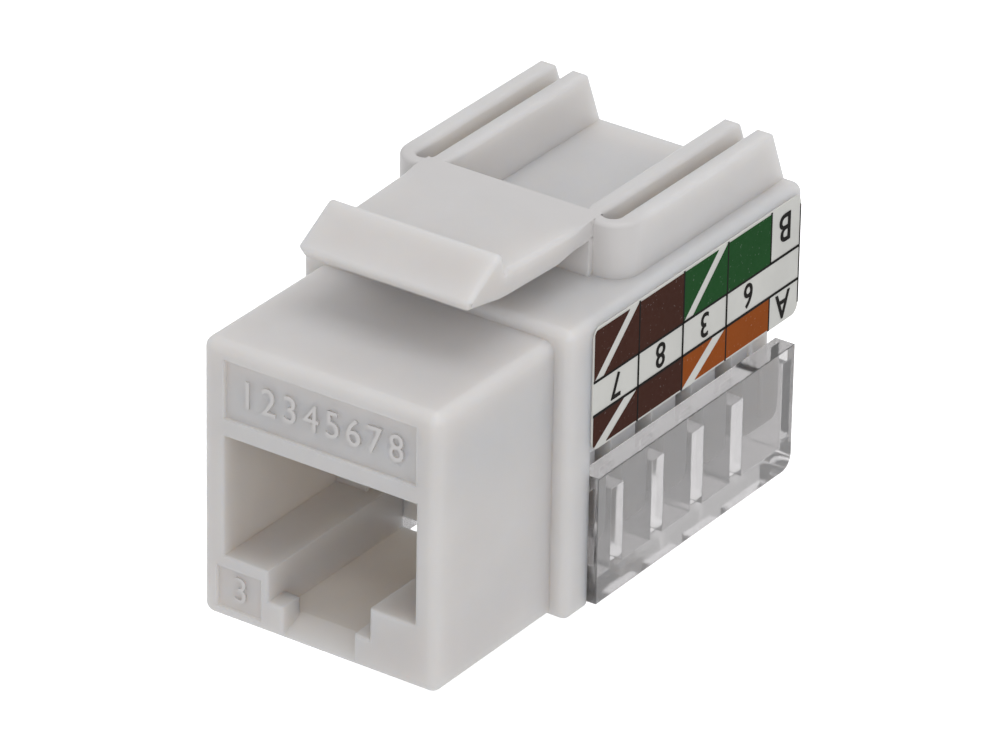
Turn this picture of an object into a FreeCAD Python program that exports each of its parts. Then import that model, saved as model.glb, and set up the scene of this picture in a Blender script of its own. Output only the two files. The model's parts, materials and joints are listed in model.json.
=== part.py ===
import FreeCAD, Part
import os
from math import hypot, sqrt

# Snap-in modular jack for a panel opening, in millimetres. +X is the label side, +Y runs from the
# front face to the rear, +Z is up. The origin is the centre of the plug mouth, in the front face.

V = FreeCAD.Vector

# Front body, which goes through the panel opening
front_width = 14.5
front_height = 15.8
front_length = 9.9          # front face to the shoulder that stops on the panel's back
front_round = 0.6

# Plug mouth: a stepped opening, widest at the top, with a channel for the plug's locking tab
mouth_width = 11.8
mouth_height = 6.85
mouth_depth = 9.7           # front face to the corner blocks that stop the plug
ledge_height = 3.675        # body bottom to the mouth's lower ledge
channel_width = 6.3         # between the inner faces of the two ledges
tab_width = 4.4             # between the two lugs that the locking tab catches behind
lug_height = 1.92
lug_thick = 1.45
floor_thick = 1.0
lip_thick = 0.2             # floor thickness at the mouth, before the lead-in rises
lead_in = 1.6
window_height = 0.6         # gap under the wire block, at the rear end of the channel
mouth_round = 0.18
panel_wall = 1.35           # front wall above the mouth, ahead of the contact carrier

# Sunk fields in the front face
field_width = 11.8
field_height = 3.35
field_gap = 1.0             # mouth to field
field_depth = 0.25
mark_width = 2.7
mark_height = 2.4
mark_rise = 0.65            # body bottom to the small field
mark_inset = 0.9            # body side to the small field

# Rear body: a full-height collar, then a shell over the circuit board
rear_width = 16.6
rear_height = 16.5
rear_length = 20.85
rear_round = 0.5
collar_length = 1.85
shell_wall = 0.9
shell_roof = 1.1
skirt_height = 7.45         # shell's side walls, measured down from the roof
skirt_round = 0.9

# Twin rails on the roof, each a loop that is closed at the front and open at the rear
rail_height = 3.1
rail_width = 3.0
rail_slot = 1.0
rail_tip = 0.75             # rail's nose to the front end of its slot
rail_start = 6.0            # shoulder to the rail's nose
rail_lean = 1.25            # how far the rear ends lean forward at the top
rail_round = 0.25

# Latch arm, with its catch, and the cross wall that carries it
arm_reach = 10.15           # hinge line to the tip of the nose
arm_thick = 1.5
arm_root_thick = 1.02
catch_width = 10.5
arm_waist = 0.35            # how much narrower than the catch the arm starts
arm_flare = 0.25            # how much wider than the catch it ends, at its root
catch_height = 1.35
catch_back = 1.4            # catch's rear face to the panel shoulder
catch_ramp = 2.95           # length of the sloping front of the catch
catch_drop = 0.35           # arm's top to the top of its nose
nose_thick = 0.6
root_gap = 0.05             # clearance round the arm's rounded root
cross_wall = 1.2
cross_wall_lead = 0.25      # hinge line to the cross wall's face

# Fixed hook under the front body
hook_width = 10.5
hook_height = 0.8
hook_length = 3.0

# Wire block, with its two rows of posts
block_gap = 0.1             # block to the shell's walls
block_tail = 1.15           # shell's rear end to the block's rear face
base_thick = 1.7
base_level = 8.6            # body bottom to the base's underside
post_reach = 5.2            # base's underside to the tips of the posts
post_round = 0.65
row_depth = 2.8
slot_width = 1.5
slot_pitch = 3.67
first_slot = 14.43          # front face to the centre of the first slot
slots = 4
end_wall = 0.9              # block's front and back walls
back_wall_top_gap = 0.2
crush_rib = 0.2

# Clear caps over the two rows
cap_gap = 0.2               # cap to posts, in both directions across
cap_wall = 1.2
cap_inner_wall = 0.9
cap_floor = 1.1
cap_lift = 0.3              # body bottom to the cap's underside
cap_height = 7.25
cap_inner_height = 6.1
cap_start = 0.25            # collar's rear face to the cap's front end
cap_overhang = 0.5          # block's rear face to the cap's rear end
cap_round = 0.8
rib_width = 1.1
rib_height = 4.6
cap_end_gap = 0.1           # block's rear face to the wall that closes the cap's rear end

# Blade contacts, one for each wire slot
blade_thick = 0.4
blade_width = 3.0
blade_gap = 0.05            # blade to its groove
blade_lift = 0.3            # cap's ribs to the tips of the blades
blade_slit = 0.3
slit_height = 3.0
slit_flare = 1.0
tail_width = 0.6
tail_stand = 0.4            # how far the contacts' tails stand out of the board

# Circuit board
board_thick = 1.2
board_side_gap = 0.3
board_front_gap = 0.25      # carrier to board
board_back_gap = 0.2        # board to the block's back wall
hole_gap = 0.1

# Contact carrier and its spring contacts
contacts = 8
contact_pitch = 1.016
contact_width = 0.46
contact_thick = 0.3
contact_nose_gap = 0.35     # front wall to the bend of the contacts
carrier_gap = 0.05
carrier_shelf = 0.25        # shelf each side of the mouth that carries the rails of the carrier
carrier_plate = 1.1
carrier_drop = 1.3          # underside of the plate to the foot of the side rails
carrier_rail = 1.2
carrier_length = 9.3
carrier_roof_gap = 0.9      # top of the plate to the housing above it
comb_wall = 0.36
comb_length = 4.2
contact_dip = 2.2           # how far the spring ends reach below the mouth's ceiling
contact_room = 0.2          # outermost contacts to the corner blocks
contact_run = 7.4           # nose to spring end
bend = 0.45                 # tail's bend, and the contacts' clearance round the carrier's nose
tail_well = 0.6             # depth of the well in the base under the contacts' tails
tail_rows = (1.6, 3.9)      # board's front edge to the two rows of tails

# Wiring label on the +X side
label_thick = 0.08
print_thick = 0.03
label_length = 18.9
label_height = 6.92
label_margin = 0.05         # label to the skirt's lower edge
label_round = 0.55
label_column = 4.03
upper_row = 3.0
number_row = 1.93
stripe_width = 0.5          # white stripe, measured across it
print_gap = 0.12            # white line left between printed fields

# Levels and places that follow from the sizes above
bottom = -(ledge_height + mouth_height / 2)
front_top = bottom + front_height
rear_top = bottom + rear_height
rail_top = rear_top + rail_height
mouth_top = mouth_height / 2
mouth_low = -mouth_height / 2
floor_level = bottom + floor_thick
shoulder = front_length
collar_end = shoulder + collar_length
rear_end = shoulder + rear_length
shell_inside = rear_width / 2 - shell_wall
skirt_level = rear_top - skirt_height
roof_under = rear_top - shell_roof
rail_nose = shoulder + rail_start
rail_centre = front_width / 2 - rail_width / 2
arm_top = rail_top
arm_front_width = catch_width - arm_waist
arm_root_width = catch_width + arm_flare
hinge_y = rail_nose - root_gap - arm_root_thick / 2
hinge_z = arm_top - arm_root_thick / 2
wall_face = hinge_y + cross_wall_lead
catch_y = shoulder - catch_back
block_half = shell_inside - block_gap
block_end = rear_end - block_tail
base_low = bottom + base_level
base_top = base_low + base_thick
post_tip = base_low - post_reach
row_out = block_half
row_in = block_half - row_depth
cap_out = row_out + cap_gap + cap_wall
cap_in = row_in - cap_gap - cap_inner_wall
cap_low = bottom + cap_lift
rib_top = cap_low + cap_floor + rib_height
blade_low = rib_top + blade_lift
blade_x = (row_in + row_out) / 2
board_half = block_half - board_side_gap
board_top = base_top + board_thick
tail_top = board_top + tail_stand
bay_half = mouth_width / 2 + carrier_shelf
contact_half = (contacts - 1) / 2 * contact_pitch + contact_width / 2
carrier_half = bay_half - carrier_gap
plate_low = mouth_top + carrier_drop
plate_top = plate_low + carrier_plate
bay_top = plate_top + carrier_roof_gap
nose_reach = (carrier_plate + contact_thick) / 2 + bend
carrier_front = panel_wall + contact_nose_gap + contact_thick / 2 + nose_reach + bend
carrier_end = carrier_front + carrier_length
board_front = carrier_end + board_front_gap
label_x = rear_width / 2
label_low = skirt_level + label_margin
label_front = rear_end - label_length - label_margin
over = 1.0                  # how far a cutting tool runs past what it cuts


def box(x0, x1, y0, y1, z0, z1):
    return Part.makeBox(x1 - x0, y1 - y0, z1 - z0, V(x0, y0, z0))


def prism(points, along):
    """Closed outline of straight sides, pushed along a vector."""
    return Part.Face(Part.makePolygon(points + [points[0]])).extrude(along)


def side_prism(outline, x0, x1):
    """Outline of (y, z) points, as wide as x0 to x1."""
    return prism([V(x0, y, z) for y, z in outline], V(x1 - x0, 0, 0))


def plan_prism(outline, z0, z1):
    """Outline of (x, y) points, as high as z0 to z1."""
    return prism([V(x, y, z0) for x, y in outline], V(0, 0, z1 - z0))


def loop_prism(half, x, y_centre, y_end, z0, z1):
    """Upright slab with a round nose towards the front."""
    nose = Part.Arc(V(x - half, y_centre, z0), V(x, y_centre - half, z0),
                    V(x + half, y_centre, z0)).toShape()
    sides = Part.makePolygon([V(x + half, y_centre, z0), V(x + half, y_end, z0),
                              V(x - half, y_end, z0), V(x - half, y_centre, z0)])
    return Part.Face(Part.Wire([nose] + sides.Edges)).extrude(V(0, 0, z1 - z0))


def mirrored(shape):
    return shape.mirror(V(0, 0, 0), V(1, 0, 0))


def rounded(shape, radius, test):
    """Fillet the edges whose box passes a test."""
    edges = [edge for edge in shape.Edges if test(edge.BoundBox)]
    return shape.makeFillet(radius, edges)


def slot_places():
    return [first_slot + i * slot_pitch for i in range(slots)]


def contact_places():
    return [(i - (contacts - 1) / 2) * contact_pitch for i in range(contacts)]


# ---------------------------------------------------------------- housing

def outer_body():
    front = box(-front_width / 2, front_width / 2, 0, collar_end, bottom, front_top)
    front = rounded(front, front_round, lambda b: b.YMin < 0.01)
    rear = box(-rear_width / 2, rear_width / 2, shoulder, rear_end, bottom, rear_top)
    rear = rounded(rear, rear_round, lambda b: b.YMin < shoulder + 0.01)
    return front.fuse(rear)


def twin_rail():
    y_centre = rail_nose + rail_width / 2
    slot_centre = rail_nose + rail_tip + rail_slot / 2
    root = rear_top - shell_roof / 2
    rail = loop_prism(rail_width / 2, rail_centre, y_centre, rear_end, root, rail_top)
    slot = loop_prism(rail_slot / 2, rail_centre, slot_centre, rear_end + over, rear_top, rail_top + over)
    slope = rail_lean / rail_height
    lean = side_prism([(rear_end, rear_top), (rear_end - rail_lean - slope * over, rail_top + over),
                       (rear_end + over, rail_top + over), (rear_end + over, rear_top)],
                      rail_centre - rail_width, rail_centre + rail_width)
    rail = rail.cut(slot).cut(lean)
    return rounded(rail, rail_round, lambda b: b.ZMin > rail_top - 0.01)


def cross_wall_solid():
    half = arm_root_width / 2
    return box(-half, half, wall_face, wall_face + cross_wall, rear_top - shell_roof / 2, rail_top)


def root_groove():
    radius = arm_root_thick / 2 + root_gap
    half = arm_root_width / 2 + root_gap
    return Part.makeCylinder(radius, 2 * half, V(-half, hinge_y, hinge_z), V(1, 0, 0))


def fixed_hook():
    back = catch_y
    outline = [(back, bottom + floor_thick / 2), (back, bottom - hook_height),
               (back - hook_length / 3, bottom - hook_height), (back - hook_length, bottom),
               (back - hook_length, bottom + floor_thick / 2)]
    return side_prism(outline, -hook_width / 2, hook_width / 2)


def mouth():
    m, c, n, t = mouth_width / 2, channel_width / 2, contact_half + contact_room, tab_width / 2
    rear = collar_end + over
    wide = box(-m, m, -over, mouth_depth, mouth_low, mouth_top)
    contact_bay = box(-n, n, mouth_depth - over, rear, mouth_low, mouth_top)
    channel = box(-c, c, lug_thick, rear, floor_level, mouth_low + over)
    above_lugs = box(-c, c, -over, lug_thick + over, bottom + lug_height, mouth_low + over)
    lip, inside = bottom + lip_thick, lead_in + over
    notch = side_prism([(-over, lip), (0, lip), (lead_in, floor_level), (inside, floor_level),
                        (inside, mouth_low), (-over, mouth_low)], -t, t)
    opening = wide
    for piece in (contact_bay, channel, above_lugs, notch):
        opening = opening.fuse(piece)
    return opening.removeSplitter()


def front_fields():
    low = mouth_top + field_gap
    upper = box(-field_width / 2, field_width / 2, -over, field_depth, low, low + field_height)
    left, foot = mark_inset - front_width / 2, bottom + mark_rise
    mark = box(left, left + mark_width, -over, field_depth, foot, foot + mark_height)
    return upper.fuse(mark)


def housing():
    body = outer_body()
    for part in (twin_rail(), mirrored(twin_rail()), cross_wall_solid(), fixed_hook()):
        body = body.fuse(part)
    body = body.removeSplitter()
    wide = rear_width / 2 + over
    cuts = [
        mouth(),
        front_fields(),
        root_groove(),
        box(-bay_half, bay_half, panel_wall, collar_end + over, mouth_top, bay_top),
        box(-shell_inside, shell_inside, collar_end, rear_end + over, bottom - over, roof_under),
        box(-wide, wide, collar_end, rear_end + over, bottom - over, skirt_level),
    ]
    for tool in cuts:
        body = body.cut(tool)
    body = rounded(body, mouth_round, lambda b: b.YMax < 0.01 and b.ZMin > bottom + lip_thick - 0.01
                   and b.ZMax < mouth_top + 0.01 and b.XMax < mouth_width / 2 + 0.01
                   and b.XMin > -mouth_width / 2 - 0.01 and b.ZMax > bottom + lug_height - 0.01)
    return rounded(body, skirt_round, lambda b: b.YMin > rear_end - 0.01 and b.ZMax < skirt_level + 0.01
                   and b.ZLength < 0.01 and b.XLength > shell_wall / 2)


# ---------------------------------------------------------------- latch arm

def latch_arm():
    nose_y = hinge_y - arm_reach
    nose_top = arm_top - catch_drop
    under = arm_top - arm_thick
    ridge = arm_top + catch_height
    ridge_y = nose_y + catch_ramp
    outline = [(hinge_y, arm_top), (catch_y, arm_top), (ridge_y, ridge), (nose_y, nose_top),
               (nose_y + nose_thick / 2, nose_top - nose_thick), (catch_y, under),
               (hinge_y - arm_thick * 1.5, under), (hinge_y, arm_top - arm_root_thick)]
    half = catch_width / 2
    arm = side_prism(outline, -half - over, half + over)
    root, front = arm_root_width / 2, arm_front_width / 2
    plan = [(half, nose_y - over), (half, catch_y), (front, catch_y), (root, hinge_y),
            (-root, hinge_y), (-front, catch_y), (-half, catch_y), (-half, nose_y - over)]
    arm = arm.common(plan_prism(plan, under - over, ridge + over))
    knuckle = Part.makeCylinder(arm_root_thick / 2, arm_root_width, V(-root, hinge_y, hinge_z), V(1, 0, 0))
    arm = arm.fuse(knuckle).removeSplitter()
    arm = rounded(arm, nose_thick * 0.35, lambda b: b.YMax < nose_y + nose_thick
                  and b.XLength > catch_width - 1)
    return rounded(arm, nose_thick * 0.4, lambda b: b.ZMin > ridge - 0.01)


# ---------------------------------------------------------------- wire block

def post(y0, y1):
    r = post_round
    z0, z1 = post_tip, base_low + base_thick / 2
    c = r * (1 - 1 / sqrt(2))
    pieces = [
        Part.LineSegment(V(row_in, y0, z1), V(row_in, y0, z0 + r)).toShape(),
        Part.Arc(V(row_in, y0, z0 + r), V(row_in, y0 + c, z0 + c), V(row_in, y0 + r, z0)).toShape(),
        Part.LineSegment(V(row_in, y0 + r, z0), V(row_in, y1 - r, z0)).toShape(),
        Part.Arc(V(row_in, y1 - r, z0), V(row_in, y1 - c, z0 + c), V(row_in, y1, z0 + r)).toShape(),
        Part.LineSegment(V(row_in, y1, z0 + r), V(row_in, y1, z1)).toShape(),
        Part.LineSegment(V(row_in, y1, z1), V(row_in, y0, z1)).toShape(),
    ]
    return Part.Face(Part.Wire(pieces)).extrude(V(row_depth, 0, 0))


def post_row():
    edges = [collar_end]
    for y in slot_places():
        edges += [y - slot_width / 2, y + slot_width / 2]
    edges.append(block_end)
    posts = [post(edges[i], edges[i + 1]) for i in range(0, len(edges), 2)]
    row = posts[0]
    for piece in posts[1:]:
        row = row.fuse(piece)
    for y in ((edges[0] + edges[1]) / 2, (edges[-2] + edges[-1]) / 2):
        z0 = post_tip + post_round
        rib = Part.makeCylinder(crush_rib, base_low - z0, V(row_out, y, z0), V(0, 0, 1))
        row = row.fuse(rib)
    return row


def blade_grooves():
    half = blade_thick / 2 + blade_gap
    wide = blade_width / 2 + blade_gap
    return [box(blade_x - half, blade_x + half, y - wide, y + wide, blade_low - blade_gap, base_top + over)
            for y in slot_places()]


def wire_block():
    base = box(-block_half, block_half, collar_end, block_end, base_low, base_top)
    row = post_row()
    front = box(-blade_x, blade_x, collar_end, collar_end + end_wall, post_tip, base_low + base_thick / 2)
    middle = cap_in - cap_gap
    apron = box(-middle, middle, collar_end, collar_end + end_wall, floor_level + window_height,
                base_low + base_thick / 2)
    back = box(-block_half, block_half, block_end - end_wall, block_end, base_low,
               roof_under - back_wall_top_gap)
    block = base.fuse(row).fuse(mirrored(row)).fuse(front).fuse(apron).fuse(back).removeSplitter()
    wide = contacts * contact_pitch / 2
    block = block.cut(box(-wide, wide, board_front + tail_rows[0] - tail_width, board_front + tail_rows[1]
                          + tail_width, base_top - tail_well, base_top + over))
    for groove in blade_grooves():
        block = block.cut(groove).cut(mirrored(groove))
    return block


# ---------------------------------------------------------------- clear caps

def wire_cap():
    y0 = collar_end + cap_start
    y1 = block_end + cap_overhang
    outer = box(cap_out - cap_wall, cap_out, y0, y1, cap_low, cap_low + cap_height)
    floor = box(cap_in, cap_out, y0, y1, cap_low, cap_low + cap_floor)
    inner = box(cap_in, cap_in + cap_inner_wall, collar_end + end_wall + cap_gap, y1,
                cap_low, cap_low + cap_inner_height)
    closed = box(cap_in, cap_out, block_end + cap_end_gap, y1, cap_low, cap_low + cap_inner_height)
    cap = outer.fuse(floor).fuse(inner).fuse(closed).removeSplitter()
    cap = rounded(cap, cap_round, lambda b: b.YMin > y1 - 0.01 and b.ZMax < cap_low + 0.01)
    for y in slot_places():
        rib = box(cap_in + cap_inner_wall / 2, cap_out - cap_wall / 2, y - rib_width / 2, y + rib_width / 2,
                  cap_low + cap_floor / 2, rib_top)
        cap = cap.fuse(rib)
    return cap.removeSplitter()


# ---------------------------------------------------------------- board and contacts

def blade_contact(y, side):
    x0 = blade_x - blade_thick / 2
    w, s, f, t = blade_width / 2, blade_slit / 2, slit_flare / 2, tail_width / 2
    slit_top = blade_low + slit_height
    flare_top = blade_low + (slit_flare - blade_slit)
    outline = [(y - w, blade_low), (y - f, blade_low), (y - s, flare_top), (y - s, slit_top),
               (y + s, slit_top), (y + s, flare_top), (y + f, blade_low), (y + w, blade_low),
               (y + w, base_top), (y + t, base_top), (y + t, tail_top), (y - t, tail_top),
               (y - t, base_top), (y - w, base_top)]
    blade = side_prism(outline, x0, x0 + blade_thick)
    return blade if side > 0 else mirrored(blade)


def tail_y(i):
    return board_front + tail_rows[i % 2]


def circuit_board():
    board_end = block_end - end_wall - board_back_gap
    board = box(-board_half, board_half, board_front, board_end, base_top, board_top)
    x_half = blade_thick / 2 + hole_gap
    y_half = tail_width / 2 + hole_gap
    z0, z1 = base_top - over, board_top + over
    for y in slot_places():
        hole = box(blade_x - x_half, blade_x + x_half, y - y_half, y + y_half, z0, z1)
        board = board.cut(hole).cut(mirrored(hole))
    radius = (contact_width ** 2 + contact_thick ** 2) ** 0.5 / 2 + hole_gap
    for i, x in enumerate(contact_places()):
        hole = Part.makeCylinder(radius, z1 - z0, V(x, tail_y(i), z0), V(0, 0, 1))
        board = board.cut(hole)
    return board


def contact_carrier():
    plate = box(-carrier_half, carrier_half, carrier_front, carrier_end, plate_low, plate_top)
    plate = rounded(plate, carrier_plate * 0.45, lambda b: b.YMax < carrier_front + 0.01 and b.XLength > 1)
    carrier = plate
    rail = box(carrier_half - carrier_rail, carrier_half, carrier_front, carrier_end, mouth_top, plate_top)
    rail = rounded(rail, carrier_plate * 0.45, lambda b: b.YMax < carrier_front + 0.01 and b.XLength > 1
                   and b.ZMin > plate_low)
    carrier = carrier.fuse(rail).fuse(mirrored(rail))
    back = box(-carrier_half, carrier_half, carrier_end - end_wall, carrier_end, mouth_top, plate_top)
    carrier = carrier.fuse(back)
    for i in range(contacts + 1):
        x = (i - contacts / 2) * contact_pitch
        wall = box(x - comb_wall / 2, x + comb_wall / 2, carrier_end - comb_length,
                   carrier_end - end_wall / 2, mouth_top, plate_low + carrier_plate / 2)
        carrier = carrier.fuse(wall)
    return carrier.removeSplitter()


def spring_contact(i, x):
    """A flat strip: tail up out of the board, forward over the carrier, round its nose and back down."""
    t = contact_thick
    z_top = plate_top + t / 2
    y_tail = tail_y(i)
    nose_y = carrier_front - bend
    nose_z = z_top - nose_reach
    low = nose_z - nose_reach
    end = V(0, nose_y + contact_run, mouth_top - contact_dip)
    start = V(0, nose_y, low)
    foot = base_top - tail_stand
    c = bend * (1 - 1 / sqrt(2))
    path = [
        Part.LineSegment(V(0, y_tail, foot), V(0, y_tail, z_top - bend)).toShape(),
        Part.Arc(V(0, y_tail, z_top - bend), V(0, y_tail - c, z_top - c),
                 V(0, y_tail - bend, z_top)).toShape(),
        Part.LineSegment(V(0, y_tail - bend, z_top), V(0, nose_y, z_top)).toShape(),
        Part.Arc(V(0, nose_y, z_top), V(0, nose_y - nose_reach, nose_z), start).toShape(),
        Part.LineSegment(start, end).toShape(),
    ]
    wire = Part.Wire(path)
    w = contact_width / 2
    corners = [V(-w, y_tail - t / 2, foot), V(w, y_tail - t / 2, foot),
               V(w, y_tail + t / 2, foot), V(-w, y_tail + t / 2, foot)]
    section = Part.makePolygon(corners + corners[:1])
    strip = wire.makePipeShell([section], True, False, 1)
    strip.translate(V(x, 0, 0))
    return strip


# ---------------------------------------------------------------- wiring label

def label_skin():
    skin = box(label_x, label_x + label_thick, label_front, label_front + label_length,
               label_low, label_low + label_height)
    return rounded(skin, label_round, lambda b: b.XLength > label_thick / 2 and b.YLength < 0.01)


def printed_field(column, row, striped):
    """One coloured cell, cut in two by a slanting white stripe where the wire is striped."""
    y0 = label_front + column * label_column + print_gap / 2
    y1 = y0 + label_column - print_gap
    top = label_low + label_height
    split = top - upper_row
    low = split - number_row
    if row == "upper":
        z0, z1 = split + print_gap / 2, top - print_gap
    else:
        z0, z1 = label_low + print_gap, low - print_gap / 2
    x0 = label_x + label_thick
    field = box(x0, x0 + print_thick, y0, y1, z0, z1)
    if striped:
        wide = stripe_width * hypot(y1 - y0, z1 - z0) / (z1 - z0)
        run = (y1 - y0 - wide) / (z1 - z0) * over
        band = prism([V(x0 - over, y0 - run, z0 - over), V(x0 - over, y0 + wide - run, z0 - over),
                      V(x0 - over, y1 + run, z1 + over), V(x0 - over, y1 - wide + run, z1 + over)],
                     V(over + over, 0, 0))
        field = field.cut(band)
    return field


def printed_fields(cells):
    skin = label_skin().translated(V(label_thick, 0, 0))
    fields = [printed_field(*cell).common(skin) for cell in cells]
    return Part.makeCompound([solid for field in fields for solid in field.Solids])


brown_cells = [(0, "upper", True), (1, "upper", False), (0, "lower", True), (1, "lower", False)]
green_cells = [(2, "upper", True), (3, "upper", False)]
orange_cells = [(2, "lower", True), (3, "lower", False)]


def save(name, shape):
    shape.exportStep("parts/" + name + ".step")


def main():
    os.makedirs("parts", exist_ok=True)
    save("housing", housing())
    save("latch_arm", latch_arm())
    save("wire_block", wire_block())
    cap = wire_cap()
    save("wire_cap_right", cap)
    save("wire_cap_left", mirrored(cap))
    save("circuit_board", circuit_board())
    save("contact_carrier", contact_carrier())
    for i, x in enumerate(contact_places()):
        save("spring_contact_" + str(i + 1), spring_contact(i, x))
    for i, y in enumerate(slot_places()):
        save("blade_contact_" + str(i + 1), blade_contact(y, 1))
        save("blade_contact_" + str(i + 1 + slots), blade_contact(y, -1))
    save("wiring_label", label_skin())
    save("label_brown", printed_fields(brown_cells))
    save("label_green", printed_fields(green_cells))
    save("label_orange", printed_fields(orange_cells))


main()
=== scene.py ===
import json
import math

import bpy
import bmesh
from mathutils import Matrix, Vector


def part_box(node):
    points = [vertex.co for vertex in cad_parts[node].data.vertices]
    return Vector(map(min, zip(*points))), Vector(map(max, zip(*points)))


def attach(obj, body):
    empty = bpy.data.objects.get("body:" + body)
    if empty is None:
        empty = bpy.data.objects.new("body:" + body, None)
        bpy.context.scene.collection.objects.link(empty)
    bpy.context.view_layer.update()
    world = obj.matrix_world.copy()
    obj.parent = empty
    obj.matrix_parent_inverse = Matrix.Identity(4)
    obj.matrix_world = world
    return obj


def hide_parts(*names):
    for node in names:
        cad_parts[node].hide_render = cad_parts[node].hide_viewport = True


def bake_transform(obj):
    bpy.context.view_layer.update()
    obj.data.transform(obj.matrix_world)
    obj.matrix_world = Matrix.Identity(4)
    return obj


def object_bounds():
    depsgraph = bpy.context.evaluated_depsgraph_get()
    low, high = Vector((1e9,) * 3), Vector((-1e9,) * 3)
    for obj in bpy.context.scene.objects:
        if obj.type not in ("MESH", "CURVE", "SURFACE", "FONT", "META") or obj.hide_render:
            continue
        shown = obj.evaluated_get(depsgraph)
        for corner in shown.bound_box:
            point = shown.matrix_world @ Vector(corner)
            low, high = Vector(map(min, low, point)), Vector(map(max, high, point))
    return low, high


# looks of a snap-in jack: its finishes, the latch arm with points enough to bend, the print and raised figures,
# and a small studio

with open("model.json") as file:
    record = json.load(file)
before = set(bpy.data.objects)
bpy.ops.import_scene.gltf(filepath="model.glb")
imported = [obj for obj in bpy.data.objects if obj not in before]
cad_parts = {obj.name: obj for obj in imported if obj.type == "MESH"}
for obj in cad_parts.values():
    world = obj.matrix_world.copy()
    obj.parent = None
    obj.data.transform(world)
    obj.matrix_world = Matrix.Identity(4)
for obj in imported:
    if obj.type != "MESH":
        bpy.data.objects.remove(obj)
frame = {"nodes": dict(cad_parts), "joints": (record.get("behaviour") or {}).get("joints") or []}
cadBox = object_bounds()

mm = 0.001


# the two corners of one CAD node's box, in mm
def boxOf(node):
    low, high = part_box(node)
    return Vector(low) / mm, Vector(high) / mm


roofTop = boxOf("housing")[1].z
armLow, armHigh = boxOf("latch_arm")
labelLow, labelHigh = boxOf("wiring_label")
hinge = next(Vector(j["pos_m"]) / mm for j in frame["joints"] if j["name"] == "latch_flex")


# materials

def nodeMaterial(name):
    mat = bpy.data.materials.new(name)
    mat.use_nodes = True
    tree = mat.node_tree
    tree.nodes.clear()
    out = tree.nodes.new("ShaderNodeOutputMaterial")
    shader = tree.nodes.new("ShaderNodeBsdfPrincipled")
    tree.links.new(shader.outputs["BSDF"], out.inputs["Surface"])
    return mat, tree, shader


def place(tree):
    return tree.nodes.new("ShaderNodeTexCoord").outputs["Object"]


def noise(tree, where, size, detail=2.0, roughness=0.5):
    n = tree.nodes.new("ShaderNodeTexNoise")
    n.inputs["Scale"].default_value = 1 / (size * mm)
    n.inputs["Detail"].default_value = detail
    n.inputs["Roughness"].default_value = roughness
    tree.links.new(where, n.inputs["Vector"])
    return n.outputs["Fac"]


# maps a value to low..high; most of a noise lies between 0.3 and 0.7
def spread(tree, value, low, high, fromLow=0.3, fromHigh=0.7):
    m = tree.nodes.new("ShaderNodeMapRange")
    m.inputs["From Min"].default_value = fromLow
    m.inputs["From Max"].default_value = fromHigh
    m.inputs["To Min"].default_value = low
    m.inputs["To Max"].default_value = high
    tree.links.new(value, m.inputs["Value"])
    return m.outputs["Result"]


def mixColour(tree, share, a, b):
    m = tree.nodes.new("ShaderNodeMix")
    m.data_type = "RGBA"
    tree.links.new(share, m.inputs["Factor"])
    for socket, colour in ((m.inputs["A"], a), (m.inputs["B"], b)):
        if isinstance(colour, tuple):
            socket.default_value = (*colour, 1)
        else:
            tree.links.new(colour, socket)
    return m.outputs["Result"]


edgeSamples = 6              # rays that look for a neighbouring face at a soft edge


# surface detail: pairs of a height and its depth in mm, over edges softened by a radius in mm
def bumps(tree, shader, layers, edge=0.0):
    normal = None
    if edge:
        bevel = tree.nodes.new("ShaderNodeBevel")
        bevel.samples = edgeSamples
        bevel.inputs["Radius"].default_value = edge * mm
        normal = bevel.outputs["Normal"]
    for height, depth in layers:
        b = tree.nodes.new("ShaderNodeBump")
        b.inputs["Strength"].default_value = 1.0
        b.inputs["Distance"].default_value = depth * mm
        tree.links.new(height, b.inputs["Height"])
        if normal:
            tree.links.new(normal, b.inputs["Normal"])
        normal = b.outputs["Normal"]
    tree.links.new(normal, shader.inputs["Normal"])


def clamp(value):
    return max(0, min(1, value))


def scaled(colour, k):
    return tuple(c * k for c in colour)


whitePlastic = {
    "colour": (0.682, 0.661, 0.648),
    "mottle": 0.018,             # how far the colour drifts over the moulding
    "mottleSize": 4.0,           # mm
    "roughness": 0.42, "roughDrift": 0.10, "roughSize": 0.9,
    "grainSize": 0.09, "grainDepth": 0.004,
    "flowSize": 1.7, "flowDepth": 0.010,         # slow waviness of a moulded face
    "edge": 0.10,                # mm, softness of the moulded edges
    "shine": 0.45,
    "glow": 1.0,                 # share of the light that soaks in
    "glowDepth": 3.0,            # mm
    "glowReach": (1.0, 0.88, 0.74),
}
carrierPlastic = {"colour": (0.42, 0.40, 0.37), "roughness": 0.5}

# The latch and the wall it grows out of are two meshes, so no light soaks through near their seam.
# All in mm: the seam's place behind the hinge line, and where the light fades in around it.
rootFade = {"behind": 0.8, "none": 1.0, "full": 2.6}


def awayFromRoot(tree, where, most):
    offset = tree.nodes.new("ShaderNodeVectorMath")
    offset.operation = "SUBTRACT"
    tree.links.new(where, offset.inputs[0])
    offset.inputs[1].default_value = (0, (hinge.y + rootFade["behind"]) * mm, hinge.z * mm)
    flat = tree.nodes.new("ShaderNodeVectorMath")
    flat.operation = "MULTIPLY"
    tree.links.new(offset.outputs["Vector"], flat.inputs[0])
    flat.inputs[1].default_value = (0, 1, 1)
    reach = tree.nodes.new("ShaderNodeVectorMath")
    reach.operation = "LENGTH"
    tree.links.new(flat.outputs["Vector"], reach.inputs[0])
    return spread(tree, reach.outputs["Value"], 0, most, rootFade["none"] * mm, rootFade["full"] * mm)


def linkRoughness(tree, shader, pattern, middle, drift):
    tree.links.new(spread(tree, pattern, middle - drift / 2, middle + drift / 2), shader.inputs["Roughness"])


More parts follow.
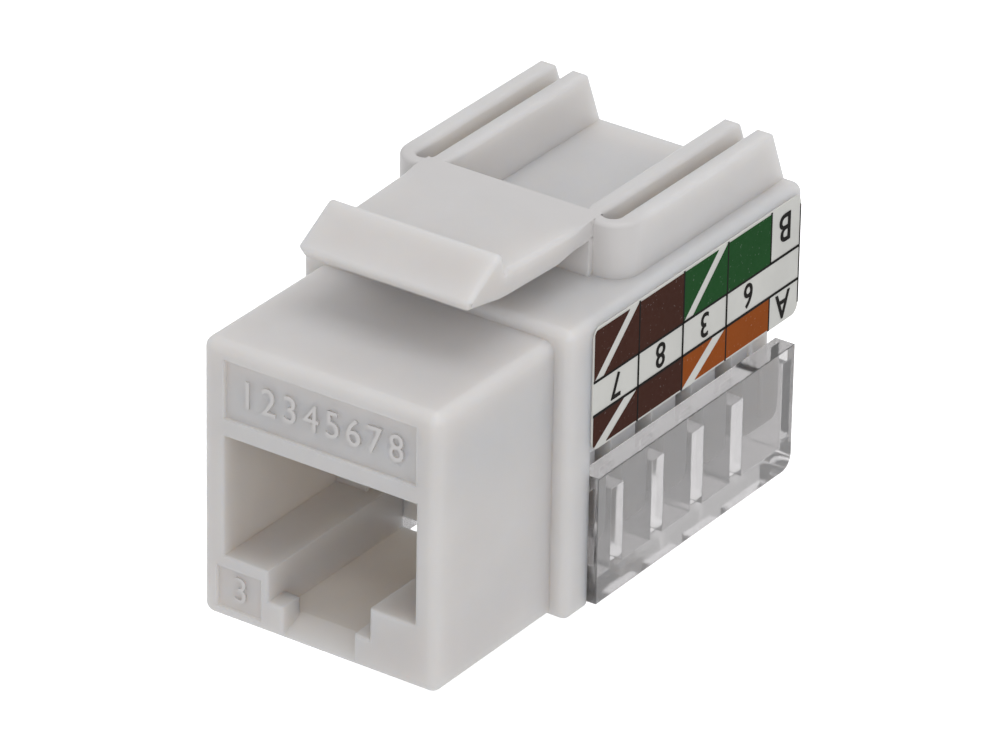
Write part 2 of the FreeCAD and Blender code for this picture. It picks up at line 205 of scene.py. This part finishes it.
def plasticMaterial(name, finish):
    mat, tree, shader = nodeMaterial(name)
    where = place(tree)
    drift = noise(tree, where, finish["mottleSize"], 3)
    dark, pale = scaled(finish["colour"], 1 - finish["mottle"]), scaled(finish["colour"], 1 + finish["mottle"])
    tone = mixColour(tree, spread(tree, drift, 0, 1), dark, pale)
    tree.links.new(tone, shader.inputs["Base Color"])
    grain = noise(tree, where, finish["grainSize"], 3, 0.6)
    patches = noise(tree, where, finish["roughSize"], 4)
    linkRoughness(tree, shader, patches, finish["roughness"], finish["roughDrift"])
    shader.inputs["Subsurface Weight"].default_value = finish["glow"]
    if finish["glow"]:
        tree.links.new(awayFromRoot(tree, where, finish["glow"]), shader.inputs["Subsurface Weight"])
    shader.inputs["Subsurface Radius"].default_value = finish["glowReach"]
    shader.inputs["Subsurface Scale"].default_value = finish["glowDepth"] * mm
    shader.inputs["Specular IOR Level"].default_value = finish["shine"]
    bumps(tree, shader, [(noise(tree, where, finish["flowSize"], 1), finish["flowDepth"]),
                         (grain, finish["grainDepth"])], finish["edge"])
    return mat


clearPlastic = {
    # colour: a faint grey tint of the clear plastic, made darker as painted shade, so that what shows through the
    # caps looks as shaded as their inside
    "colour": (0.49, 0.478, 0.478),
    "clear": 0.94, "ior": 1.58,
    "roughness": 0.09, "roughDrift": 0.06, "hazeSize": 1.6,
    "waveSize": 1.2, "waveDepth": 0.012,
    "grainSize": 0.15, "grainDepth": 0.0002,
    "edge": 0.12,
}


def clearMaterial(name, finish):
    mat, tree, shader = nodeMaterial(name)
    where = place(tree)
    shader.inputs["Base Color"].default_value = (*finish["colour"], 1)
    shader.inputs["Transmission Weight"].default_value = finish["clear"]
    shader.inputs["IOR"].default_value = finish["ior"]
    haze = noise(tree, where, finish["hazeSize"], 4)
    linkRoughness(tree, shader, haze, finish["roughness"], finish["roughDrift"])
    bumps(tree, shader, [(noise(tree, where, finish["waveSize"], 1), finish["waveDepth"]),
                         (noise(tree, where, finish["grainSize"], 2), finish["grainDepth"])], finish["edge"])
    return mat


contactGold = {"colour": (0.80, 0.58, 0.24), "dull": (0.55, 0.38, 0.16), "roughness": 0.22}
bladeTin = {"colour": (0.62, 0.61, 0.58), "dull": (0.40, 0.39, 0.37), "roughness": 0.34}
stampedStrip = {
    "patchSize": 0.7, "streakSize": 0.15, "streakDepth": 0.003, "smoother": 0.06, "rougher": 0.1,
    "edge": 0.03,
}


def metalMaterial(name, finish):
    mat, tree, shader = nodeMaterial(name)
    where = place(tree)
    patch = noise(tree, where, stampedStrip["patchSize"], 5, 0.6)
    tree.links.new(mixColour(tree, spread(tree, patch, 0, 1), finish["colour"], finish["dull"]),
                   shader.inputs["Base Color"])
    shader.inputs["Metallic"].default_value = 1.0
    streak = noise(tree, where, stampedStrip["streakSize"], 4)
    low, high = finish["roughness"] - stampedStrip["smoother"], finish["roughness"] + stampedStrip["rougher"]
    tree.links.new(spread(tree, streak, low, high), shader.inputs["Roughness"])
    bumps(tree, shader, [(streak, stampedStrip["streakDepth"])], stampedStrip["edge"])
    return mat


boardMask = {
    "colour": (0.012, 0.085, 0.035), "copper": (0.03, 0.16, 0.06), "roughness": 0.3, "coat": 0.4,
    "trackPitch": 0.9, "trackFrom": 0.55, "trackTo": 0.62, "trackDepth": 0.02,
    "wander": 3.0, "wanderDetail": 1.0, "wanderScale": 0.4,
    "grainSize": 0.1, "grainDepth": 0.002,
}
waveToPitch = 0.3            # scale at which the wave texture has about one band for each unit


def boardMaterial(name, finish):
    mat, tree, shader = nodeMaterial(name)
    where = place(tree)
    wave = tree.nodes.new("ShaderNodeTexWave")
    wave.bands_direction = "X"
    wave.inputs["Scale"].default_value = waveToPitch / (finish["trackPitch"] * mm)
    wave.inputs["Distortion"].default_value = finish["wander"]
    wave.inputs["Detail"].default_value = finish["wanderDetail"]
    wave.inputs["Detail Scale"].default_value = finish["wanderScale"]
    tree.links.new(where, wave.inputs["Vector"])
    track = spread(tree, wave.outputs["Fac"], 0, 1, finish["trackFrom"], finish["trackTo"])
    tree.links.new(mixColour(tree, track, finish["colour"], finish["copper"]), shader.inputs["Base Color"])
    shader.inputs["Roughness"].default_value = finish["roughness"]
    shader.inputs["Coat Weight"].default_value = finish["coat"]
    grain = noise(tree, where, finish["grainSize"], 2)
    bumps(tree, shader, [(track, finish["trackDepth"]), (grain, finish["grainDepth"])])
    return mat


labelFilm = {"colour": (0.680, 0.675, 0.635), "roughness": 0.5, "shine": 0.3}
ink = {
    "Brown": (0.050, 0.0160, 0.0095),
    "Green": (0.0105, 0.0680, 0.0150),
    "Orange": (0.300, 0.071, 0.0100),
    # the black ink prints the lines and figures, and also paints the shade along the label's rear edge
    "BlackInkAndEdgeShade": (0.010, 0.009, 0.008),
}
inkFinish = {"roughness": 0.60, "shine": 0.04}
inkSpecks = {"size": 0.16, "share": 0.70, "fade": 0.06, "lift": 0.07}       # paper that shows through the ink
filmDrift = {
    "tone": 0.05, "toneSize": 2.5, "rough": 0.10, "roughSize": 0.3, "roughDepth": 0.003,
    "waveSize": 1.4, "waveDepth": 0.012,
}


def filmMaterial(name, colour, finish, speckled):
    mat, tree, shader = nodeMaterial(name)
    where = place(tree)
    drift = spread(tree, noise(tree, where, filmDrift["toneSize"], 4), 0, 1)
    tone = mixColour(tree, drift, scaled(colour, 1 - filmDrift["tone"]), scaled(colour, 1 + filmDrift["tone"]))
    if speckled:
        speck = noise(tree, where, inkSpecks["size"], 1)
        dot = spread(tree, speck, 0, 1, inkSpecks["share"], inkSpecks["share"] + inkSpecks["fade"])
        tone = mixColour(tree, dot, tone, tuple(c + inkSpecks["lift"] for c in colour))
    tree.links.new(tone, shader.inputs["Base Color"])
    rough = noise(tree, where, filmDrift["roughSize"], 4)
    linkRoughness(tree, shader, rough, finish["roughness"], filmDrift["rough"])
    shader.inputs["Specular IOR Level"].default_value = finish["shine"]
    wave = noise(tree, where, filmDrift["waveSize"], 1)
    bumps(tree, shader, [(wave, filmDrift["waveDepth"]), (rough, filmDrift["roughDepth"])])
    return mat


housingWhite = plasticMaterial("housingWhite", whitePlastic)
latchPlastic = plasticMaterial("latchPlastic", {**whitePlastic, "edge": 0})
figurePlastic = plasticMaterial("figurePlastic", {**whitePlastic, "edge": 0, "glow": 0})
capClear = clearMaterial("capClear", clearPlastic)
goldPlate = metalMaterial("goldPlate", contactGold)
tinPlate = metalMaterial("tinPlate", bladeTin)
carrierTone = plasticMaterial("carrierTone", {**whitePlastic, **carrierPlastic})
boardGreen = boardMaterial("boardGreen", boardMask)
labelWhite = filmMaterial("labelWhite", labelFilm["colour"], labelFilm, False)
prints = {tone: filmMaterial("print" + tone, ink[tone], inkFinish, tone != "BlackInkAndEdgeShade") for tone in ink}


def dress(node, mat):
    data = frame["nodes"][node].data
    data.materials.clear()
    data.materials.append(mat)


finishOf = {
    "housing": housingWhite, "wire_block": housingWhite, "latch_arm": housingWhite,
    "wire_cap_right": capClear, "wire_cap_left": capClear, "circuit_board": boardGreen,
    "contact_carrier": carrierTone, "wiring_label": labelWhite, "label_brown": prints["Brown"],
    "label_green": prints["Green"], "label_orange": prints["Orange"],
}
for node in frame["nodes"]:
    if node.startswith("spring_contact"):
        dress(node, goldPlate)
    elif node.startswith("blade_contact"):
        dress(node, tinPlate)
    else:
        dress(node, finishOf[node])
print("materials on", len(frame["nodes"]), "nodes")


# bmesh in mm to an object in metres
def meshObject(name, bm, mat, smoothAngle=None):
    for v in bm.verts:
        v.co *= mm
    bmesh.ops.recalc_face_normals(bm, faces=bm.faces)
    data = bpy.data.meshes.new(name)
    bm.to_mesh(data)
    bm.free()
    data.materials.append(mat)
    obj = bpy.data.objects.new(name, data)
    bpy.context.scene.collection.objects.link(obj)
    if smoothAngle is not None:
        for f in data.polygons:
            f.use_smooth = True
        data.set_sharp_from_angle(angle=math.radians(smoothAngle))
    return obj


# replaces each corner of an outline with an arc of its own radius
def roundedOutline(corners, radii, steps=5):
    out = []
    count = len(corners)
    for i, corner in enumerate(corners):
        here, radius = Vector(corner), radii[i]
        if not radius:
            out.append(here)
            continue
        back = (Vector(corners[i - 1]) - here).normalized()
        on = (Vector(corners[(i + 1) % count]) - here).normalized()
        half = back.angle(on) / 2
        centre = here + (back + on).normalized() * (radius / math.sin(half))
        start, end = here + back * (radius / math.tan(half)), here + on * (radius / math.tan(half))
        a, b = start - centre, end - centre
        turn = a.angle(b)
        for k in range(steps + 1):
            t = k / steps
            out.append(centre + (a * math.sin((1 - t) * turn) + b * math.sin(t * turn)) / math.sin(turn))
    return out


# latch arm: one springy sheet that grows out of the cross wall

latch = {
    "thick": 1.5, "rootThick": 1.02, "catchHeight": 1.35, "catchBack": 3.19, "ridgeBack": 2.95,
    "noseDrop": 0.35, "noseThick": 0.6, "noseSlim": 0.2,
    "wallLead": 0.25, "wallThick": 1.2,          # cross wall, measured from the hinge line
    "thinFrom": 2.25, "thinTo": 0.375,           # the underside rises from before the hinge line to behind it
    "cover": 0.004,                              # how far the sheet stands over the wall it grows out of
    "radii": (0.01, 0.15, 0.28, 0.24, 0.22, 1.2, 1.6, 0, 0),     # one for each corner of the outline
    "edge": 0.26, "edgeFade": 1.0, "leastEdge": 0.002,           # rounded sides, which fade towards the wall
    "rootFlare": 0.3, "catchInset": 0.125, "shoulder": 0.6,      # how the width changes along the arm
    "steps": 7, "ribs": 20, "spacing": 0.4,      # mesh: turns of a side, ribs across, points along
}


# side view, as places along the jack and levels
def latchOutline():
    nose = armLow.y
    catchY = nose + latch["catchBack"]
    rear = hinge.y + latch["wallLead"] + latch["wallThick"] + latch["cover"]
    lid, under = roofTop + latch["cover"], roofTop - latch["thick"]
    noseTop, rootLow = roofTop - latch["noseDrop"], roofTop - latch["rootThick"]
    corners = [
        (rear, lid),
        (catchY, lid),
        (nose + latch["ridgeBack"], roofTop + latch["catchHeight"]),
        (nose, noseTop),
        (nose + latch["noseThick"] / 2, noseTop - latch["noseThick"]),
        (catchY, under),
        (hinge.y - latch["thinFrom"], under),
        (hinge.y + latch["thinTo"], rootLow),
        (rear, rootLow),
    ]
    return roundedOutline(corners, latch["radii"]), catchY


def latchArm():
    profile, catchY = latchOutline()
    rootHalf = armHigh.x
    front, noseLevel = rootHalf - latch["rootFlare"], roofTop - latch["noseDrop"]

    # the arm widens towards its root, the catch slims towards its nose, and a short shoulder joins them
    def halfWidth(p):
        arm = front + clamp((p.x - catchY) / (hinge.y - catchY)) * (rootHalf - front)
        slim = latch["noseSlim"] * clamp((noseLevel - p.y) / latch["noseThick"])
        catch = rootHalf - latch["catchInset"] - slim
        t = clamp((p.x - catchY) / latch["shoulder"])
        return catch + (arm - catch) * t * t * (3 - 2 * t)

    def edgeRound(p):
        wallFace = hinge.y + latch["wallLead"]
        return max(latch["leastEdge"], latch["edge"] * clamp((wallFace - p.x) / latch["edgeFade"]))

    # long straight stretches get extra points, so that they can bend
    dense = []
    for i, p in enumerate(profile):
        q = profile[(i + 1) % len(profile)]
        pieces = max(1, int((q - p).length / latch["spacing"]))
        dense += [p.lerp(q, k / pieces) for k in range(pieces)]
    count = len(dense)
    inward = []
    for i, p in enumerate(dense):
        along = (dense[(i + 1) % count] - dense[i - 1]).normalized()
        inward.append(Vector((-along.y, along.x)))
    middle = sum(dense, Vector((0, 0))) / count
    if sum((middle - p).dot(n) for p, n in zip(dense, inward)) < 0:
        inward = [-n for n in inward]

    # across the width: a rounded edge, a flat run of ribs, and the other rounded edge
    bm = bmesh.new()
    rings = []
    for side in (-1, 1):
        group = []
        for k in range(latch["steps"] + 1):
            turn = math.pi / 2 * k / latch["steps"]
            ring = []
            for p, n in zip(dense, inward):
                r = edgeRound(p)
                q = p + n * (r * (1 - math.sin(turn)))
                x = halfWidth(p) - r * (1 - math.cos(turn))
                ring.append((side * x, q.x, q.y))
            group.append(ring)
        rings.append(group)
    left, right = rings
    flat = []
    for k in range(1, latch["ribs"]):
        share = k / latch["ribs"]
        flat.append([(u[0] + (v[0] - u[0]) * share, u[1], u[2]) for u, v in zip(left[-1], right[-1])])
    loops = [[bm.verts.new(v) for v in ring] for ring in left + flat + right[::-1]]
    for a, b in zip(loops, loops[1:]):
        for i in range(count):
            j = (i + 1) % count
            bm.faces.new((a[i], a[j], b[j], b[i]))
    bm.faces.new(loops[0])
    bm.faces.new(loops[-1])
    return meshObject("latchArm", bm, latchPlastic, 35)


arm = latchArm()
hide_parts("latch_arm")
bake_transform(arm)
print("latch arm")


# printed lines and figures of the label, and a black strip of painted shade along its rear edge

labelPrintAndEdgeShade = {
    "columns": 4.03, "upperRow": 3.0, "numberRow": 1.93,
    "line": 0.13, "thinner": 0.85,               # level lines, and how much thinner the upright ones are
    "lift": 0.035, "sunk": 0.01,                 # how far the ink stands out of the film, and goes into it
    "endMargin": 0.02, "rowMargin": 0.03,
    # shade rim: painted shade, a black strip over the label's rear edge that stands in for the shaded edge of the
    # film
    "shadeRimWidth": 0.07, "shadeRimOver": 0.005, "shadeRimDepth": 0.05, "shadeRimMargin": 0.6,      # dark line at the rear end
    "figures": ("7", "8", "3", "6"), "figureHeight": 1.42, "weight": 0.006,
    "letters": (("B", 1.62), ("A", 1.5)),        # upper and lower letter, each with its height
    "letterForward": 0.1, "upperLift": 0.1,
}


def labelRows():
    upper = labelHigh.z - labelPrintAndEdgeShade["upperRow"]
    return upper, upper - labelPrintAndEdgeShade["numberRow"]


# a straight block between two corners
def strip(bm, low, high):
    ends = list(zip(low, high))
    verts = [bm.verts.new((x, y, z)) for x in ends[0] for y in ends[1] for z in ends[2]]
    for quad in ((0, 1, 3, 2), (4, 6, 7, 5), (0, 4, 5, 1), (2, 3, 7, 6), (0, 2, 6, 4), (1, 5, 7, 3)):
        bm.faces.new([verts[i] for i in quad])


def labelLines():
    c = labelPrintAndEdgeShade
    bm = bmesh.new()
    x0, x1 = labelHigh.x - c["sunk"], labelHigh.x + c["lift"]
    half = c["line"] / 2
    thinHalf = half * c["thinner"]
    y0, y1 = labelLow.y, labelHigh.y
    low, high = labelLow.z + c["rowMargin"], labelHigh.z - c["rowMargin"]
    upper, lower = labelRows()
    for z in (upper, lower):
        strip(bm, (x0, y0 + c["endMargin"], z - half), (x1, y1 - c["endMargin"], z + half))
    columns = len(c["figures"])
    for k in range(1, columns + 1):
        y = y0 + k * c["columns"]
        # the last one leaves the row of numbers open
        for a, b in ([(low, high)] if k < columns else [(upper, high), (low, lower)]):
            strip(bm, (x0, y - thinHalf, a), (x1, y + thinHalf, b))
    # painted shade: a black strip wrapped over the rear edge of the film, where that edge lies in shade
    strip(bm, (x0 - c["shadeRimDepth"], y1 - c["shadeRimWidth"], labelLow.z + c["shadeRimMargin"]),
          (x1 - c["sunk"], y1 + c["shadeRimOver"], labelHigh.z - c["shadeRimMargin"]))
    return meshObject("labelLines", bm, prints["BlackInkAndEdgeShade"])


figureShape = {"narrow": 0.92, "curveSteps": 6}


# one raised or printed figure as a mesh, between its reading direction and up
def figure(name, text, height, centre, reading, up, depth, mat, weight=0.0):
    curve = bpy.data.curves.new(name, "FONT")
    curve.body = text
    curve.align_x = "CENTER"
    curve.size = 1.0
    curve.offset = weight
    curve.resolution_u = figureShape["curveSteps"]
    holder = bpy.data.objects.new(name + "Curve", curve)
    bpy.context.scene.collection.objects.link(holder)
    bpy.context.view_layer.update()
    size = holder.dimensions.copy()
    curve.extrude = depth / 2 * size.y / height
    data = bpy.data.meshes.new_from_object(holder.evaluated_get(bpy.context.evaluated_depsgraph_get()))
    bpy.data.objects.remove(holder)
    low = Vector([min(v.co[i] for v in data.vertices) for i in range(3)])
    high = Vector([max(v.co[i] for v in data.vertices) for i in range(3)])
    k = height * mm / (high.y - low.y)
    middle = (low + high) / 2
    out = reading.cross(up)
    turn = Matrix((reading, up, out)).transposed()
    for v in data.vertices:
        p = (v.co - middle) * k
        v.co = turn @ Vector((p.x * figureShape["narrow"], p.y, p.z)) + centre * mm
    data.materials.clear()
    data.materials.append(mat)
    obj = bpy.data.objects.new(name, data)
    bpy.context.scene.collection.objects.link(obj)
    return obj


def labelFigures():
    c = labelPrintAndEdgeShade
    reading, up = Vector((0, -1, 0)), Vector((0, 0, -1))
    x = labelHigh.x + (c["lift"] - c["sunk"]) / 2
    upper, lower = labelRows()
    made = []
    for k, text in enumerate(c["figures"]):
        at = Vector((x, labelLow.y + (k + 0.5) * c["columns"], (upper + lower) / 2))
        made.append(figure("labelFigure" + text, text, c["figureHeight"], at,
                           reading, up, c["lift"], prints["BlackInkAndEdgeShade"], c["weight"]))
    lastLine = labelLow.y + len(c["figures"]) * c["columns"]
    lastColumn = (lastLine + labelHigh.y) / 2 - c["letterForward"]
    middles = ((upper + labelHigh.z) / 2 + c["upperLift"], (labelLow.z + lower) / 2)
    for (text, height), z in zip(c["letters"], middles):
        made.append(figure("labelLetter" + text, text, height, Vector((x, lastColumn, z)),
                           reading, up, c["lift"], prints["BlackInkAndEdgeShade"], c["weight"]))
    return made


frontFigures = {
    "fieldDepth": 0.25, "fieldLevel": 6.1, "rise": 0.08, "sunk": 0.01,
    "count": 8, "height": 1.5, "pitch": 1.3,
    "mark": "3", "markHeight": 1.45, "markAt": (-5.0, -5.25),
}


# raised contact numbers in the sunk field over the mouth, and one mould number in the small field
def mouldedFigures():
    c = frontFigures
    reading, up = Vector((1, 0, 0)), Vector((0, 0, 1))
    y = c["fieldDepth"] - c["rise"] / 2 + c["sunk"]
    made = []
    for k in range(c["count"]):
        at = Vector(((k - (c["count"] - 1) / 2) * c["pitch"], y, c["fieldLevel"]))
        made.append(figure("mouldedFigure%d" % (k + 1), str(k + 1), c["height"], at,
                           reading, up, c["rise"], figurePlastic))
    x, z = c["markAt"]
    made.append(figure("mouldedMark", c["mark"], c["markHeight"], Vector((x, y, z)),
                       reading, up, c["rise"], figurePlastic))
    return made


lines = labelLines()
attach(lines, "jack")
for piece in labelFigures():
    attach(piece, "jack")
for piece in mouldedFigures():
    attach(piece, "jack")
print("label and figures")


# floor, light and camera

studio = {
    "floorSize": 3.0,            # metres
    "floorDrop": 0.2,            # mm below the lowest cap
    "floorTone": 0.80, "paperDrift": 0.01, "paperGrain": 2.0, "paperRoughness": 0.9,
    "cameraGlow": 0.84,          # lifts the floor to white where the camera looks at it
    "skyLevel": 0.51, "skyColour": (0.98, 0.99, 1.02),
}


# white wherever the camera, a mirror or a clear piece looks at it
def seenWhite(tree, plain, white, target):
    path = tree.nodes.new("ShaderNodeLightPath")
    share = path.outputs["Is Camera Ray"]
    for ray in ("Is Glossy Ray", "Is Transmission Ray"):
        most = tree.nodes.new("ShaderNodeMath")
        most.operation = "MAXIMUM"
        tree.links.new(share, most.inputs[0])
        tree.links.new(path.outputs[ray], most.inputs[1])
        share = most.outputs[0]
    mix = tree.nodes.new("ShaderNodeMixShader")
    tree.links.new(share, mix.inputs["Fac"])
    tree.links.new(plain, mix.inputs[1])
    tree.links.new(white, mix.inputs[2])
    tree.links.new(mix.outputs["Shader"], target)


def floor():
    bm = bmesh.new()
    s = studio["floorSize"] / 2 / mm
    # a cap that is pulled off moves down, so the floor lies below its travel
    travel = max(j["range_m"][1] for j in frame["joints"] if j["type"] == "slide")
    z = (cadBox[0][2] - travel) / mm - studio["floorDrop"]
    bm.faces.new([bm.verts.new((x, y, z)) for x, y in ((-s, -s), (s, -s), (s, s), (-s, s))])
    mat, tree, shader = nodeMaterial("floorPaper")
    tone = studio["floorTone"]
    grain = noise(tree, place(tree), studio["paperGrain"], 3)
    darker = scaled((tone, tone, tone), 1 - studio["paperDrift"])
    tree.links.new(mixColour(tree, grain, (tone, tone, tone), darker), shader.inputs["Base Color"])
    shader.inputs["Roughness"].default_value = studio["paperRoughness"]
    glow = tree.nodes.new("ShaderNodeEmission")
    glow.inputs["Strength"].default_value = studio["cameraGlow"]
    both = tree.nodes.new("ShaderNodeAddShader")
    tree.links.new(shader.outputs["BSDF"], both.inputs[0])
    tree.links.new(glow.outputs["Emission"], both.inputs[1])
    out = next(n for n in tree.nodes if n.type == "OUTPUT_MATERIAL")
    seenWhite(tree, shader.outputs["BSDF"], both.outputs["Shader"], out.inputs["Surface"])
    obj = meshObject("floor", bm, mat)


def sky():
    world = bpy.data.worlds.new("softSky")
    bpy.context.scene.world = world
    world.use_nodes = True
    tree = world.node_tree
    tree.nodes.clear()
    out = tree.nodes.new("ShaderNodeOutputWorld")
    plain = tree.nodes.new("ShaderNodeBackground")
    plain.inputs["Color"].default_value = (*studio["skyColour"], 1)
    plain.inputs["Strength"].default_value = studio["skyLevel"]
    white = tree.nodes.new("ShaderNodeBackground")
    white.inputs["Strength"].default_value = 1.0
    seenWhite(tree, plain.outputs["Background"], white.outputs["Background"], out.inputs["Surface"])


# places and sizes in metres; all lamps point at what the camera looks at
lamps = {
    "top": {"at": (0.05, 0.10, 0.60), "size": 0.5, "watts": 0.9},
    "key": {"at": (0.30, -0.46, 0.28), "size": 0.4, "watts": 0.78},
    "right": {"at": (0.48, 0.02, 0.34), "size": 0.4, "watts": 0.22},
}
# lens and film in mm, angles in degrees, distance and aim in mm; azimuth turns from the front to the right
camera = {
    "lens": 288, "film": 36, "azimuth": 34.43, "elevation": 28.20, "roll": 1.01,
    "distance": 406.6, "aim": (1.094, 14.155, 3.060), "nearest": 10,
}


def lamp(name, spec):
    light = bpy.data.lights.new(name + "Lamp", "AREA")
    light.shape = "DISK"
    light.size = spec["size"]
    light.energy = spec["watts"]
    obj = bpy.data.objects.new(name + "Lamp", light)
    obj.location = spec["at"]
    aim = Vector(camera["aim"]) * mm - Vector(spec["at"])
    obj.rotation_euler = aim.to_track_quat("-Z", "Y").to_euler()
    bpy.context.scene.collection.objects.link(obj)


def viewpoint():
    az, el, roll = (math.radians(camera[k]) for k in ("azimuth", "elevation", "roll"))
    back = Vector((math.sin(az) * math.cos(el), -math.cos(az) * math.cos(el), math.sin(el)))
    flat = Vector((math.cos(az), math.sin(az), 0))
    right = Matrix.Rotation(roll, 3, back) @ flat
    up = back.cross(right)
    data = bpy.data.cameras.new("viewpoint")
    data.lens = camera["lens"]
    data.sensor_width = camera["film"]
    data.clip_start = camera["nearest"] * mm
    obj = bpy.data.objects.new("viewpoint", data)
    at = (Vector(camera["aim"]) + back * camera["distance"]) * mm
    obj.matrix_world = Matrix.Translation(at) @ Matrix((right, up, back)).transposed().to_4x4()
    bpy.context.scene.collection.objects.link(obj)
    bpy.context.scene.camera = obj


floor()
sky()
for name, spec in lamps.items():
    lamp(name, spec)
viewpoint()
bpy.context.scene.view_settings.view_transform = "Standard"
print("studio")
